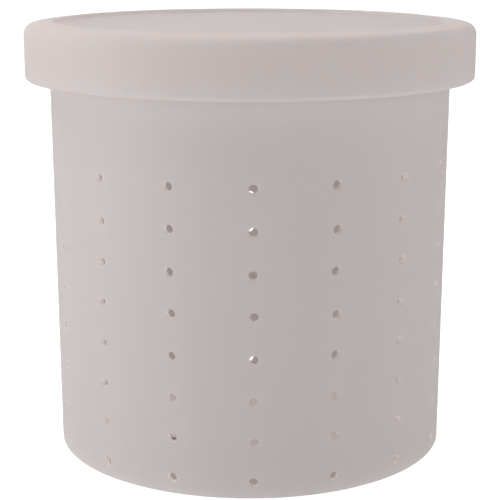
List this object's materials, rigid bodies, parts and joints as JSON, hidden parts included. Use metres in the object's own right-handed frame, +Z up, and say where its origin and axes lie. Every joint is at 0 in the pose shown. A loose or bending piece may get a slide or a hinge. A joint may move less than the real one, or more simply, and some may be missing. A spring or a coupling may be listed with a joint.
{
  "type": "cheese mould",
  "caption": "Perforated round mould with a flanged mouth, a deep lid and a loose ribbed follower, for draining and pressing curd into a wheel of cheese.",
  "frame": {"origin": "centre of the foot, on the surface the mould stands on", "axes": "+Z up along the mould's axis; a column of drain holes faces -Y, the front; +X to the right seen from the front"},
  "size_m": [0.21, 0.21, 0.2013],
  "materials": {
    "wall_plastic": "satin, milky natural white, slightly translucent",
    "lid_plastic": "satin, milky natural white, slightly translucent",
    "floor_plastic": "satin, milky natural white, slightly translucent",
    "follower_plastic": "satin, milky natural white"
  },
  "bodies": {
    "mould": {"wall_shell": "wall_plastic", "floor_plate": "floor_plastic"},
    "lid": {"lid": "lid_plastic"},
    "follower": {"follower": "follower_plastic"}
  },
  "joints": [
    {"name": "lid_lift", "type": "slide", "parent": "mould", "child": "lid", "axis": [0, 0, 1], "range_m": [0, 0.12]},
    {"name": "follower_lift", "type": "slide", "parent": "mould", "child": "follower", "axis": [0, 0, 1], "range_m": [0, 0.174]}
  ]
}
